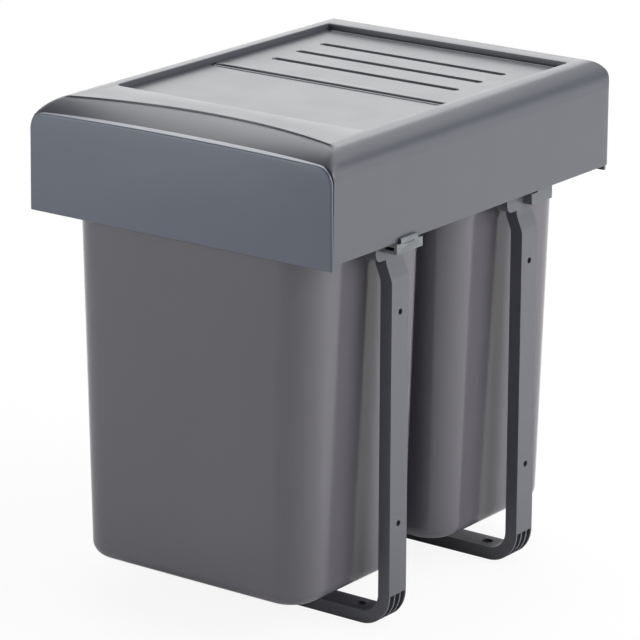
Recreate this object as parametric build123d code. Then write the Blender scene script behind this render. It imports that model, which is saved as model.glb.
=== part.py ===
from build123d import *
import os

# Pull-out twin waste bin frame for a narrow base cabinet.
# Millimetres. Z is up from the cabinet floor, X runs across the cabinet and Y runs from the front
# panel (low) to the back of the hood (high). The origin is under the middle of the outer box.

# Overall sizes
overall_width = 262.0
overall_depth = 340.0
overall_height = 357.0
front = -overall_depth / 2
back = overall_depth / 2
overrun = 2.0
rest_gap = 0.3
slide_gap = 0.6
running_clearance = 0.05

# Hood over the bins
hood_side_inset = 0.4
hood_height = 76.4
hood_wall = 2.5
hood_side_radius = 20.0
hood_back_radius = 9.0
hood_front_radius = 16.0
hood_corner_radius = 6.0
hood_front_cap = 21.0
hood_ear_length = 12.0
hood_back_lip_drop = 4.8
hood_back_lip_inset = 3.6
arch_radius = 335.0
arch_setback = 42.0
arch_run = 44.0
arch_drop = 13.0
arch_bulge = 1.6
arch_step = 1.0
hood_half_width = overall_width / 2 - hood_side_inset
hood_bottom = overall_height - hood_height
hood_shoulder = overall_height - hood_side_radius
hood_front_opening_top = overall_height - hood_front_cap

# Front panel, folded from sheet
panel_sheet = 1.8
panel_drop = 7.6
panel_overhang = 3.9
panel_top_return = 8.0
panel_corner_radius = 10.0
panel_edge_radius = 1.2
panel_to_hood_gap = 0.5
panel_top = overall_height - panel_drop
panel_bottom = hood_bottom - panel_overhang

# Recess in the hood's top and the two lids in it
recess_border = 23.6
recess_front = 66.0
recess_back_border = 23.7
recess_front_radius = 5.0
recess_back_radius = 1.6
recess_wall = 2.5
ledge_depth = 8.0
ledge_width = 4.5
ledge_corner_radius = 3.0
ledge_thickness = 2.5
front_lid_share = 0.428
lid_gap = 0.8
lid_seam_gap = 2.4
lid_thickness = 3.2
lid_barrel_radius = 2.4
lid_barrel_drop = 0.2
lid_pin_radius = 1.5
lid_pin_length = 1.8
lid_lip_width = 4.0
lid_lip_height = 0.8
bridge_width = 16.0
bridge_drop = 4.0
groove_count = 3
groove_pitch = 29.3
groove_end_gap = 25.0
groove_width = 6.5
groove_depth = 1.8
recess_half_width = hood_half_width - recess_border
recess_back = overall_depth - recess_back_border
lid_split = recess_front + front_lid_share * (recess_back - recess_front)

# Two U-shaped support frames that screw to the cabinet
frame_side_inset = 5.1
frame_setback = 75.3
frame_back_space = 86.8
frame_width = 20.0
frame_thickness = 9.65
frame_outer_bend = 24.0
jog_offset = 5.0
jog_height = 12.0
jog_to_head = 3.0
jog_fillet = 12.0
head_height = 20.0
head_overlap = 6.4
head_front_overhang = 12.0
head_rear_overhang = 15.0
head_fillet = 6.0
shelf_thickness = 4.0
tab_thickness = 2.4
tab_height = 22.0
bend_slot_count = 3
bend_slot_rib = 1.4
bend_slot_depth = 4.0
wall_hole_radius = 2.25
wall_hole_low = 76.0
wall_hole_drop = 23.0
wall_sink_radius = 4.2
wall_sink_depth = 2.0
floor_hole_inset = 31.9
frame_half_width = overall_width / 2 - frame_side_inset
frame_pitch = overall_depth - frame_setback - frame_width - frame_back_space
head_top = hood_bottom + head_overlap
head_bottom = head_top - head_height
jog_top = head_bottom - jog_to_head
jog_bottom = jog_top - jog_height
wall_hole_high = jog_bottom - wall_hole_drop
floor_hole_offset = frame_half_width - floor_hole_inset

# Clips that hold the hood's lower edge
clip_length = 30.0
clip_base_height = 6.8
clip_leg = 2.2
clip_wall_gap = 0.4
clip_outer_leg_height = 3.6
clip_inner_leg_height = 4.4
clip_outer_leg_inset = 5.0
clip_line_width = 0.8
clip_line_depth = 0.5
clip_edge_radius = 0.8
rear_clip_shift = 12.0
rear_clip_length = 26.0
rear_clip_step = 7.0
rear_clip_base_height = 8.0
rear_clip_base_drop = 2.3
rear_clip_leg_height = 6.0

# Roller runners
rail_sheet = 1.2
rail_width = 11.9
outer_rail_front = 8.0
outer_rail_back_gap = 6.0
inner_rail_front = 6.0
inner_rail_back_gap = 10.0
roller_radius = 9.0
roller_width = 7.0
front_roller_setback = 18.0
rear_roller_back_gap = 18.0
roller_pin_radius = 2.5
roller_recess_radius = 4.4
roller_recess_depth = 1.2
pin_head_radius = 3.8
pin_head_thickness = 0.8
pin_shoulder_radius = 4.0
inner_web_rise = 3.0
rail_screw_radius = 2.0
rail_screw_head_radius = 3.6
rail_screw_head = 0.9
outer_rail_back = overall_depth - outer_rail_back_gap
inner_rail_back = overall_depth - inner_rail_back_gap
rear_roller_setback = overall_depth - rear_roller_back_gap
inner_web_bottom = head_top + inner_web_rise

# Bin carrier that hangs between the inner rails
carrier_rise = 2.0
carrier_thickness = 2.5
carrier_front = 2.6
carrier_back_gap = 7.0
carrier_window_gap = 1.0
upstand_thickness = 1.5
upstand_height = 15.0
upstand_front = 32.0
upstand_back_gap = 28.0
rivet_radius = 2.0
rivet_head_radius = 3.2
rivet_head = 0.8
rivet_end_inset = 28.0
bracket_width = 30.0
bracket_sheet = 1.5
bracket_drop = 4.4
bracket_rivet_setbacks = (10.0, 24.0)
stud_radius = 2.0
stud_length = 4.6
stud_inset = 9.0
stud_spacing = 13.0
stud_drop = 8.0
nut_width = 7.0
nut_thickness = 2.2
carrier_top = head_top + carrier_rise
carrier_back = overall_depth - carrier_back_gap
upstand_top = carrier_top + upstand_height
upstand_back = overall_depth - upstand_back_gap
bracket_top = panel_top - bracket_drop
stud_height = bracket_top - stud_drop
front_rivet_setback = upstand_front + rivet_end_inset
rear_rivet_setback = upstand_back - rivet_end_inset / 2
carrier_rivet_setbacks = (front_rivet_setback, (front_rivet_setback + rear_rivet_setback) / 2,
                          rear_rivet_setback)

# Bins
bin_setback = 7.4
bin_back_gap = 18.7
bin_between = 21.1
bin_side_inset = 26.1
bin_bottom = 25.8
bin_side_draft = 7.0
bin_front_draft = 0.5
bin_back_draft = 5.0
bin_top_corner = 27.0
bin_base_corner = 25.0
bin_base_radius = 10.0
bin_wall = 1.8
bin_rim_width = 3.4
bin_rim_thickness = 2.5
bin_half_width = overall_width / 2 - bin_side_inset
bin_length = (overall_depth - bin_setback - bin_back_gap - bin_between) / 2
bin_pitch = bin_length + bin_between


def block(x0, x1, y0, y1, z0, z1):
    """A box between two corners."""
    size_x = x1 - x0
    size_y = y1 - y0
    size_z = z1 - z0
    place = Location(((x0 + x1) / 2, (y0 + y1) / 2, (z0 + z1) / 2))
    return place * Box(size_x, size_y, size_z)


def rod_x(radius, x0, x1, y, z):
    """A round bar along X."""
    place = Location(((x0 + x1) / 2, y, z), (0, 90, 0))
    return place * Cylinder(radius, abs(x1 - x0))


def rod_y(radius, y0, y1, x, z):
    """A round bar along Y."""
    place = Location((x, (y0 + y1) / 2, z), (90, 0, 0))
    return place * Cylinder(radius, abs(y1 - y0))


def rod_z(radius, z0, z1, x, y):
    """A round bar along Z."""
    place = Location((x, y, (z0 + z1) / 2))
    return place * Cylinder(radius, abs(z1 - z0))


def both_sides(piece):
    """The piece and its mirror image across the middle plane."""
    return [piece, mirror(piece, about=Plane.YZ)]


def write(name, *solids):
    """Write one node, which may be a group of separate solids."""
    shape = solids[0] if len(solids) == 1 else Compound(children=list(solids))
    shape.label = name
    export_step(shape, os.path.join("parts", name + ".step"))


# Front panel

def panel_outline(inset):
    """Upright face with its two top corners rounded, drawn on the XZ plane."""
    half = overall_width / 2 - inset
    top = panel_top - inset
    radius = panel_corner_radius - inset
    with BuildSketch(Plane.XZ) as face:
        with BuildLine():
            Polyline((-half, top - radius), (-half, panel_bottom), (half, panel_bottom),
                     (half, top - radius))
            RadiusArc((half, top - radius), (half - radius, top), -radius)
            Line((half - radius, top), (radius - half, top))
            RadiusArc((radius - half, top), (-half, top - radius), -radius)
        make_face()
    return face.sketch


def panel_prism(inset, y0, y1):
    """The panel outline carried from y0 to y1."""
    return Pos(0, y1, 0) * extrude(panel_outline(inset), y1 - y0)


def stud_places():
    """The x of the welded studs on the right half."""
    outer = bracket_reach()
    return [outer - stud_inset, outer - stud_inset - stud_spacing]


def front_panel():
    """Sheet with a top return as a grip, rounded outer edges and four studs on its back."""
    shell = panel_prism(0, front, front + panel_top_return)
    shell -= panel_prism(panel_sheet, front + panel_sheet, front + panel_top_return + overrun)
    wide = overall_width
    low = panel_bottom - overrun
    shoulder = hood_shoulder + panel_to_hood_gap
    shell -= block(-wide, wide, front + panel_sheet, front + panel_top_return + overrun, low, shoulder)
    face_edges = shell.faces().sort_by(Axis.Y)[0].edges().sort_by(Axis.Z)
    shell = fillet(face_edges[1:], panel_edge_radius)
    for x in stud_places():
        for side in (-1, 1):
            root = front + panel_sheet - panel_sheet / 2
            shell += rod_y(stud_radius, root, front + panel_sheet + stud_length, side * x, stud_height)
    return shell


# Hood

def hood_profile_front(inset):
    """Cross-section on the XZ plane with rounded top sides."""
    half = hood_half_width - inset
    top = overall_height - inset
    radius = hood_side_radius - inset
    with BuildSketch(Plane.XZ) as face:
        with BuildLine():
            Polyline((-half, top - radius), (-half, hood_bottom), (half, hood_bottom),
                     (half, top - radius))
            RadiusArc((half, top - radius), (half - radius, top), -radius)
            Line((half - radius, top), (radius - half, top))
            RadiusArc((radius - half, top), (-half, top - radius), -radius)
        make_face()
    return face.sketch


def hood_profile_side(inset):
    """Long section on the YZ plane with rounded front and back top edges."""
    y0 = hood_front() + inset
    y1 = back - inset
    top = overall_height - inset
    r0 = hood_front_radius - inset
    r1 = hood_back_radius - inset
    with BuildSketch(Plane.YZ) as face:
        with BuildLine():
            Polyline((y0, top - r0), (y0, hood_bottom), (y1, hood_bottom), (y1, top - r1))
            RadiusArc((y1, top - r1), (y1 - r1, top), -r1)
            Line((y1 - r1, top), (y0 + r0, top))
            RadiusArc((y0 + r0, top), (y0, top - r0), -r0)
        make_face()
    return face.sketch


def hood_front():
    """Front face of the hood above the opening, just behind the panel's top return."""
    return front + panel_top_return + panel_to_hood_gap


def arch_cutter(inset):
    """Ring-shaped tool that steps and dishes the front of the top down in front of an arched line."""
    top = overall_height - inset
    r1 = arch_radius
    r0 = arch_radius - arch_run
    low = top - arch_drop
    step = top - arch_step
    middle = ((r0 + r1) / 2, (low + step) / 2 + arch_bulge)
    high = top + overrun + inset
    with BuildSketch(Plane.XZ) as face:
        with BuildLine():
            ThreePointArc((r0, low), middle, (r1, step))
            Polyline((r1, step), (r1, high), (r0, high), (r0, low))
        make_face()
    axis_y = front + arch_setback - arch_radius
    ring = revolve(face.sketch, Axis.Z, 360)
    return Pos(0, axis_y, 0) * ring


def hood_form(inset):
    """The hood's outer shape, or its inner one when inset by the wall."""
    reach = back - hood_front() - 2 * inset
    along = Pos(0, back - inset, 0) * extrude(hood_profile_front(inset), reach)
    half = hood_half_width - inset
    across = Pos(-half, 0, 0) * extrude(hood_profile_side(inset), 2 * half)
    middle_y = (back + hood_front()) / 2
    height = overall_height - inset - hood_bottom
    plan = Rectangle(2 * half, reach)
    plan = fillet(plan.vertices().group_by(Axis.Y)[-1], hood_corner_radius - inset / 2)
    upright = Pos(0, middle_y, hood_bottom) * extrude(plan, height)
    return (along & across & upright) - arch_cutter(inset)


def recess_box(margin, front_radius, back_radius, z0, z1):
    """Box in the plan of the recess, grown by a margin, with its own front and back corner radii."""
    length = recess_back - recess_front + 2 * margin
    plan = Rectangle(2 * (recess_half_width + margin), length)
    plan = fillet(plan.vertices().group_by(Axis.Y)[0], front_radius)
    plan = fillet(plan.vertices().group_by(Axis.Y)[-1], back_radius)
    middle_y = front + (recess_back + recess_front) / 2
    return Pos(0, middle_y, z0) * extrude(plan, z1 - z0)


def hood_ear(side):
    """Forward end of one side wall, which closes up to the back of the panel."""
    inner = hood_half_width - hood_wall
    y0 = front + panel_sheet + panel_to_hood_gap
    y1 = hood_front() + hood_ear_length
    ear = block(inner, hood_half_width, y0, y1, hood_bottom, hood_shoulder)
    return ear if side > 0 else mirror(ear, about=Plane.YZ)


def ledge_top():
    """Height of the ledge that the lids lie on."""
    return overall_height - ledge_depth


def lid_axis_height():
    """Height of both lid hinges."""
    return ledge_top() + rest_gap + lid_thickness / 2 - lid_barrel_drop


def lid_axis_setbacks():
    """Distance of each lid's hinge behind the panel face, front lid first."""
    offset = lid_gap + lid_barrel_radius
    return [lid_split - offset + lid_gap / 2, recess_back - offset]


def hood():
    """Open-bottomed cover with a recessed top, a ledge and bridge for the lids and hinge sockets."""
    shell = hood_form(0)
    ledge_bottom = ledge_top() - ledge_thickness
    cavity = hood_form(hood_wall)
    cavity -= recess_box(recess_wall, recess_front_radius + recess_wall, recess_back_radius + recess_wall,
                         ledge_bottom, overall_height + overrun)
    shell -= cavity
    half = hood_half_width - hood_wall
    low = hood_bottom - overrun
    y0 = hood_front() - overrun
    shell -= block(-half, half, y0, hood_front() + hood_corner_radius, low, hood_front_opening_top)
    shell -= recess_box(0, recess_front_radius, recess_back_radius, ledge_top(), overall_height + overrun)
    shell -= recess_box(-ledge_width, ledge_corner_radius, ledge_corner_radius,
                        ledge_bottom - overrun, ledge_top() + overrun)
    for side in (-1, 1):
        shell += hood_ear(side)
    lip_half = hood_half_width - hood_back_lip_inset
    shell += block(-lip_half, lip_half, back - hood_wall, back, hood_bottom - hood_back_lip_drop,
                   hood_bottom + hood_wall)
    seam = front + lid_split
    bridge_top = ledge_top() - bridge_drop + ledge_thickness
    bridge_half = recess_half_width - ledge_width + recess_wall
    shell += block(-bridge_half, bridge_half, seam - bridge_width / 2, seam + bridge_width / 2,
                   bridge_top - ledge_thickness, bridge_top - rest_gap)
    reach = recess_half_width + recess_wall + overrun
    relief = lid_barrel_half() + lid_gap
    for setback in lid_axis_setbacks():
        socket = lid_pin_radius + running_clearance
        shell -= rod_x(socket, -reach, reach, front + setback, lid_axis_height())
        shell -= rod_x(lid_barrel_radius + rest_gap, -relief, relief, front + setback, lid_axis_height())
    return shell


# Lids

def lid_barrel_half():
    """Half the length of the thick part of a lid's hinge barrel, which clears the ledge."""
    return recess_half_width - lid_gap / 2 - ledge_width - lid_gap


def lid(y0, axis_setback, grooved):
    """Flat panel hinged on a round barrel along its back edge, with a pin at each end."""
    half = recess_half_width - lid_gap / 2
    bottom = ledge_top() + rest_gap
    top = bottom + lid_thickness
    axis_y = front + axis_setback
    axis_z = lid_axis_height()
    plate = block(-half, half, front + y0, axis_y, bottom, top)
    front_corners = plate.edges().filter_by(Axis.Z).sort_by(Axis.Y)[:2]
    plate = fillet(front_corners, recess_front_radius - lid_gap / 2)
    barrel_half = lid_barrel_half()
    plate -= block(-half - overrun, half + overrun, axis_y - lid_barrel_radius - lid_gap, axis_y + overrun,
                   bottom - overrun, axis_z - lid_barrel_radius / 2)
    plate += rod_x(lid_barrel_radius, -barrel_half, barrel_half, axis_y, axis_z)
    end_radius = lid_thickness / 2 - lid_barrel_drop
    plate += rod_x(end_radius, -half, half, axis_y, axis_z)
    pin_half = half + lid_pin_length
    plate += rod_x(lid_pin_radius, -pin_half, pin_half, axis_y, axis_z)
    lip_half = half - recess_front_radius
    plate += block(-lip_half, lip_half, front + y0, front + y0 + lid_lip_width,
                   top - rest_gap, top + lid_lip_height)
    if grooved:
        middle_y = (front + y0 + axis_y) / 2
        for index in range(groove_count):
            y = middle_y + (index - (groove_count - 1) / 2) * groove_pitch
            slot = SlotOverall(2 * (recess_half_width - groove_end_gap), groove_width)
            plate -= Pos(0, y, top - groove_depth) * extrude(slot, groove_depth + overrun)
    return plate


# Support frames

def frame_outline():
    """Half-section of the U on the XZ plane, as a closed right-hand outline from the middle out."""
    outer = frame_half_width
    inner = outer - frame_thickness
    bend = frame_outer_bend
    inner_bend = bend - frame_thickness
    with BuildSketch(Plane.XZ) as face:
        with BuildLine():
            Polyline((0, frame_thickness), (0, 0), (outer - bend, 0))
            RadiusArc((outer - bend, 0), (outer, bend), -bend)
            Polyline((outer, bend), (outer, jog_bottom), (outer - jog_offset, jog_top),
                     (outer - jog_offset, head_top), (inner - jog_offset, head_top),
                     (inner - jog_offset, jog_top), (inner, jog_bottom), (inner, bend))
            RadiusArc((inner, bend), (inner - inner_bend, frame_thickness), inner_bend)
            Line((inner - inner_bend, frame_thickness), (0, frame_thickness))
        make_face()
    return face.sketch


def head_block(y0, y1):
    """Wide head on top of a leg, with a shelf and a tab for the outer rail."""
    outer = frame_half_width - jog_offset
    inner = outer - frame_thickness
    low = y0 - head_front_overhang
    high = y1 + head_rear_overhang
    head = block(inner, outer, low, high, head_bottom, head_top)
    edges = head.edges().filter_by(Axis.X).sort_by(Axis.Z)[:2]
    head = fillet(edges, head_fillet)
    shelf_edge = tab_inner() + tab_thickness
    head += block(outer - overrun, shelf_edge, low, high, head_top - shelf_thickness, head_top)
    head += block(tab_inner(), shelf_edge, low, high, head_top - shelf_thickness, head_top + tab_height)
    return head


def tab_inner():
    """Inner face of the tab, where the outer rail's web lies."""
    return carrier_edge() + rail_width


def carrier_edge():
    """Outer face of the carrier's upstands and inner face of the inner rails."""
    return frame_half_width - jog_offset - frame_thickness - rest_gap


def bend_slots(y0):
    """Three lightening slots across the outside of the lower bend."""
    outer = frame_half_width
    width = (frame_width - (bend_slot_count + 1) * bend_slot_rib) / bend_slot_count
    centre_x = outer - frame_outer_bend
    core_radius = frame_outer_bend - bend_slot_depth
    tools = []
    for index in range(bend_slot_count):
        start = y0 + bend_slot_rib + index * (width + bend_slot_rib)
        end = start + width
        ring = rod_y(frame_outer_bend + overrun, start, end, centre_x, frame_outer_bend)
        ring -= rod_y(core_radius, start - overrun, end + overrun, centre_x, frame_outer_bend)
        quarter = block(centre_x, outer + overrun, start - overrun, end + overrun,
                        -overrun, frame_outer_bend)
        tools.append(ring & quarter)
    return tools


def support_frame(y0):
    """One U-shaped frame: crossbar, two legs and two heads, with its screw holes."""
    y1 = y0 + frame_width
    middle = (y0 + y1) / 2
    half = Pos(0, y1, 0) * extrude(frame_outline(), frame_width)
    jog_edges = half.edges().filter_by(Axis.Y).filter_by_position(Axis.Z, jog_bottom, jog_top)
    half = fillet(jog_edges, jog_fillet)
    half += head_block(y0, y1)
    for tool in bend_slots(y0):
        half -= tool
    inner = frame_half_width - frame_thickness
    for z in (wall_hole_low, wall_hole_high):
        half -= rod_x(wall_hole_radius, inner - overrun, frame_half_width + overrun, middle, z)
        half -= rod_x(wall_sink_radius, inner - overrun, inner + wall_sink_depth, middle, z)
    half -= rod_z(wall_hole_radius, -overrun, frame_thickness + overrun, floor_hole_offset, middle)
    half -= rod_z(wall_sink_radius, frame_thickness - wall_sink_depth, frame_thickness + overrun,
                  floor_hole_offset, middle)
    hole = rail_screw_radius + running_clearance
    shelf_edge = tab_inner() + tab_thickness
    half -= rod_x(hole, tab_inner() - overrun, shelf_edge + overrun, middle, roller_height())
    return half + mirror(half, about=Plane.YZ)


# Clips

def front_hood_clip(middle):
    """Clip on the outside of a head, with a channel that the hood's lower edge stands in."""
    inner = frame_half_width - jog_offset
    wall_inner = hood_half_width - hood_wall
    base_top = hood_bottom - rest_gap
    base_bottom = base_top - clip_base_height
    outer = hood_half_width + clip_wall_gap + clip_leg
    y0 = middle - clip_length / 2
    y1 = middle + clip_length / 2
    base = block(inner, outer, y0, y1, base_bottom, base_top)
    leg_outer = block(outer - clip_leg, outer, y0 + clip_outer_leg_inset, y1 - clip_outer_leg_inset,
                      base_bottom, base_top + clip_outer_leg_height)
    top_outer = leg_outer.edges().filter_by(Axis.Y).sort_by(Axis.Z)[-2:]
    leg_outer = fillet(top_outer, clip_edge_radius)
    inner_edge = wall_inner - clip_wall_gap
    leg_top = base_top + clip_inner_leg_height
    leg_inner = block(inner_edge - clip_leg, inner_edge, y0, y1, base_bottom, leg_top)
    hollow = block(inner + clip_leg, outer - clip_leg, y0 - overrun, y1 + overrun,
                   base_bottom + clip_leg, base_top - clip_leg)
    line = block(outer - clip_line_depth, outer + overrun, y0 + clip_outer_leg_inset + clip_leg,
                 y1 - 2 * clip_outer_leg_inset, base_top - clip_line_width, base_top)
    return base + leg_outer + leg_inner - hollow - line


def rear_hood_clip(middle):
    """Clip behind the hood's wall, with a low step at its front end and a leg against the wall."""
    inner = frame_half_width - jog_offset
    outer = hood_half_width - hood_wall - clip_wall_gap
    base_top = hood_bottom - rear_clip_base_drop
    base_bottom = base_top - rear_clip_base_height
    y0 = middle + rear_clip_shift - rear_clip_length / 2
    y1 = middle + rear_clip_shift + rear_clip_length / 2
    base = block(inner, outer, y0, y1, base_bottom, base_top)
    leg_top = hood_bottom + rear_clip_leg_height
    return base + block(outer - clip_leg, outer, y0 + rear_clip_step, y1, base_bottom, leg_top)


# Runners

def rail_floor():
    """Upper face of the outer rail's lower flange."""
    return head_top + rail_sheet


def roller_height():
    """Height of every roller's axis."""
    return rail_floor() + rest_gap + roller_radius


def inner_flange_bottom():
    """Underside of the inner rail's flange, which runs over the front roller."""
    return roller_height() + roller_radius + rest_gap


def outer_rail():
    """Right-hand channel with its open side towards the bins."""
    web = tab_inner()
    edge = carrier_edge() + rail_sheet + slide_gap
    top = inner_flange_bottom() + rail_sheet + slide_gap + rail_sheet
    y0 = front + outer_rail_front
    y1 = front + outer_rail_back
    rail = block(web - rail_sheet, web, y0, y1, head_top, top)
    rail += block(edge, web, y0, y1, head_top, head_top + rail_sheet)
    rail += block(edge, web, y0, y1, top - rail_sheet, top)
    hole = rail_screw_radius + running_clearance
    for middle in frame_middles():
        rail -= rod_x(hole, web - rail_sheet - overrun, web + overrun, middle, roller_height())
    pin_hole = roller_pin_radius + running_clearance
    pin_y = front + front_roller_setback
    rail -= rod_x(pin_hole, web - rail_sheet - overrun, web + overrun, pin_y, roller_height())
    return rail


def frame_middles():
    """Y of the middle of each support frame."""
    first = front + frame_setback + frame_width / 2
    return [first, first + frame_pitch]


def inner_rail():
    """Right-hand angle: a web beside the carrier and a flange that runs over the front roller."""
    web = carrier_edge()
    flange_bottom = inner_flange_bottom()
    flange_edge = tab_inner() - rail_sheet - slide_gap
    y0 = front + inner_rail_front
    y1 = front + inner_rail_back
    rail = block(web, web + rail_sheet, y0, y1, inner_web_bottom, flange_bottom + rail_sheet)
    rail += block(web, flange_edge, y0, y1, flange_bottom, flange_bottom + rail_sheet)
    pin_hole = roller_pin_radius + running_clearance
    reach = web + rail_sheet + overrun
    rail -= rod_x(pin_hole, web - overrun, reach, front + rear_roller_setback, roller_height())
    hole = rivet_radius + running_clearance
    for setback in carrier_rivet_setbacks + bracket_rivet_setbacks:
        rail -= rod_x(hole, web - overrun, reach, front + setback, roller_height())
    return rail


def roller_inner():
    """Inner face of every roller on the right-hand side."""
    return carrier_edge() + rail_sheet + slide_gap


def roller(setback, recess_inside):
    """Plain bearing roller with a recess for its pin's head."""
    x0 = roller_inner()
    x1 = x0 + roller_width
    y = front + setback
    z = roller_height()
    wheel = rod_x(roller_radius, x0, x1, y, z)
    wheel = chamfer(wheel.edges().filter_by(GeomType.CIRCLE), pin_head_thickness)
    wheel -= rod_x(roller_pin_radius + running_clearance, x0 - overrun, x1 + overrun, y, z)
    if recess_inside:
        wheel -= rod_x(roller_recess_radius, x0 - overrun, x0 + roller_recess_depth, y, z)
    else:
        wheel -= rod_x(roller_recess_radius, x1 - roller_recess_depth, x1 + overrun, y, z)
    return wheel


def front_roller_pin():
    """Rivet through the outer rail's web with its head in the roller's recess."""
    y = front + front_roller_setback
    z = roller_height()
    web = tab_inner()
    x0 = roller_inner() + rest_gap / 2
    x1 = roller_inner() + roller_width
    pin = rod_x(roller_pin_radius, x0, web + pin_head_thickness, y, z)
    pin += rod_x(pin_head_radius, x0, x0 + pin_head_thickness, y, z)
    pin += rod_x(pin_shoulder_radius, x1 + rest_gap / 2, web - rail_sheet, y, z)
    pin += rod_x(pin_head_radius, web, web + pin_head_thickness, y, z)
    return pin


def rear_roller_pin():
    """Rivet through the inner rail's web with its head in the roller's recess."""
    y = front + rear_roller_setback
    z = roller_height()
    web = carrier_edge()
    x1 = roller_inner() + roller_width - rest_gap / 2
    pin = rod_x(roller_pin_radius, web - pin_head_thickness / 2, x1, y, z)
    pin += rod_x(pin_head_radius, x1 - pin_head_thickness, x1, y, z)
    pin += rod_x(pin_shoulder_radius, web + rail_sheet, roller_inner() - rest_gap / 2, y, z)
    return pin


def outer_rail_screw(middle):
    """Low-headed screw through the outer rail's web into the frame's tab."""
    web = tab_inner()
    z = roller_height()
    screw = rod_x(rail_screw_radius, web - rail_sheet, web + tab_thickness, middle, z)
    screw += rod_x(rail_screw_head_radius, web - rail_sheet - rail_screw_head, web - rail_sheet, middle, z)
    return screw


# Carrier, brackets and fasteners

def bin_middles():
    """Y of the middle of each bin."""
    first = front + bin_setback + bin_length / 2
    return [first, first + bin_pitch]


def bin_carrier():
    """Sheet ring with a window for each bin and an upstand against each inner rail."""
    edge = carrier_edge()
    bottom = carrier_top - carrier_thickness
    ring = block(-edge, edge, front + carrier_front, front + carrier_back, bottom, carrier_top)
    for middle in bin_middles():
        width = 2 * (bin_half_width + carrier_window_gap)
        length = bin_length + 2 * carrier_window_gap
        window = RectangleRounded(width, length, bin_top_corner)
        ring -= Pos(0, middle, bottom - overrun) * extrude(window, carrier_thickness + 2 * overrun)
    for side in (-1, 1):
        outer = side * edge
        inner = side * (edge - upstand_thickness)
        wall = block(min(outer, inner), max(outer, inner), front + upstand_front, front + upstand_back,
                     bottom, upstand_top)
        ring += wall
        hole = rivet_radius + running_clearance
        for setback in carrier_rivet_setbacks:
            ring -= rod_x(hole, min(outer, inner) - overrun, max(outer, inner) + overrun,
                          front + setback, roller_height())
    return ring


def bracket_reach():
    """Outer x of the panel brackets."""
    return carrier_edge()


def panel_bracket():
    """Right-hand angle that joins the inner rail's front end to the panel."""
    outer = bracket_reach()
    y0 = front + panel_sheet
    low = carrier_top + slide_gap
    face = block(outer - bracket_width, outer, y0, y0 + bracket_sheet, low, bracket_top)
    leg_back = front + upstand_front - slide_gap
    leg_top = inner_flange_bottom() + rail_sheet
    leg = block(outer - bracket_sheet, outer, y0, leg_back, low, leg_top)
    angle = face + leg
    stud_hole = stud_radius + running_clearance
    for x in stud_places():
        angle -= rod_y(stud_hole, y0 - overrun, y0 + bracket_sheet + overrun, x, stud_height)
    for setback in bracket_rivet_setbacks:
        angle -= rod_x(rivet_radius + running_clearance, outer - bracket_sheet - overrun, outer + overrun,
                       front + setback, roller_height())
    return angle


def rivet(setback, sheet):
    """Low-headed rivet from a sheet into the inner rail's web."""
    web = carrier_edge()
    inside = web - sheet
    z = roller_height()
    body = rod_x(rivet_radius, inside, web + rail_sheet, front + setback, z)
    return body + rod_x(rivet_head_radius, inside - rivet_head, inside, front + setback, z)


def panel_nut(x):
    """Hexagon nut on a panel stud, against the bracket."""
    y0 = front + panel_sheet + bracket_sheet
    plan = Plane.XZ.offset(-y0) * RegularPolygon(nut_width / 2, 6, major_radius=False)
    nut = extrude(plan, -nut_thickness)
    nut = Pos(x, 0, stud_height) * nut
    hole = stud_radius + running_clearance
    return nut - rod_y(hole, y0 - overrun, y0 + nut_thickness + overrun, x, stud_height)


# Bins

def bin_solid(middle, inset):
    """Tapered box with rounded corners, from its base to its top edge."""
    base = bin_bottom + inset
    top = carrier_top + rest_gap + bin_rim_thickness + (overrun if inset else 0)
    low_middle = middle + (bin_front_draft - bin_back_draft) / 2
    low_length = bin_length - bin_front_draft - bin_back_draft
    low_plan = RectangleRounded(2 * (bin_half_width - bin_side_draft - inset), low_length - 2 * inset,
                                bin_base_corner - inset)
    high_plan = RectangleRounded(2 * (bin_half_width - inset), bin_length - 2 * inset,
                                 bin_top_corner - inset)
    form = loft([Pos(0, low_middle, base) * low_plan, Pos(0, middle, top) * high_plan])
    floor_edges = form.faces().sort_by(Axis.Z)[0].edges()
    return fillet(floor_edges, bin_base_radius - inset)


def waste_bin(middle):
    """Open bin with a flat rim that hangs on the carrier."""
    body = bin_solid(middle, 0)
    rim_bottom = carrier_top + rest_gap
    rim = RectangleRounded(2 * (bin_half_width + bin_rim_width), bin_length + 2 * bin_rim_width,
                           bin_top_corner + bin_rim_width)
    body += Pos(0, middle, rim_bottom) * extrude(rim, bin_rim_thickness)
    return body - bin_solid(middle, bin_wall)


os.makedirs("parts", exist_ok=True)

write("front_panel", front_panel())
write("hood", hood())

front_axis, rear_axis = lid_axis_setbacks()
write("front_lid", lid(recess_front + lid_gap / 2, front_axis, False))
write("rear_lid", lid(lid_split + lid_seam_gap - lid_gap / 2, rear_axis, True))

for name, middle, clip in zip(("front", "rear"), frame_middles(), (front_hood_clip, rear_hood_clip)):
    write(name + "_support_frame", support_frame(middle - frame_width / 2))
    right_clip, left_clip = both_sides(clip(middle))
    write(name + "_right_hood_clip", right_clip)
    write(name + "_left_hood_clip", left_clip)

for name, piece in (("outer_rail", outer_rail()), ("inner_rail", inner_rail()),
                    ("front_roller", roller(front_roller_setback, True)),
                    ("rear_roller", roller(rear_roller_setback, False)),
                    ("panel_bracket", panel_bracket())):
    right, left = both_sides(piece)
    write("right_" + name, right)
    write("left_" + name, left)

write("front_roller_pins", *both_sides(front_roller_pin()))
write("rear_roller_pins", *both_sides(rear_roller_pin()))

screws = []
for middle in frame_middles():
    screws += both_sides(outer_rail_screw(middle))
write("outer_rail_screws", *screws)

write("bin_carrier", bin_carrier())

rivets = []
for setback in carrier_rivet_setbacks:
    rivets += both_sides(rivet(setback, upstand_thickness))
write("carrier_rivets", *rivets)

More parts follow.
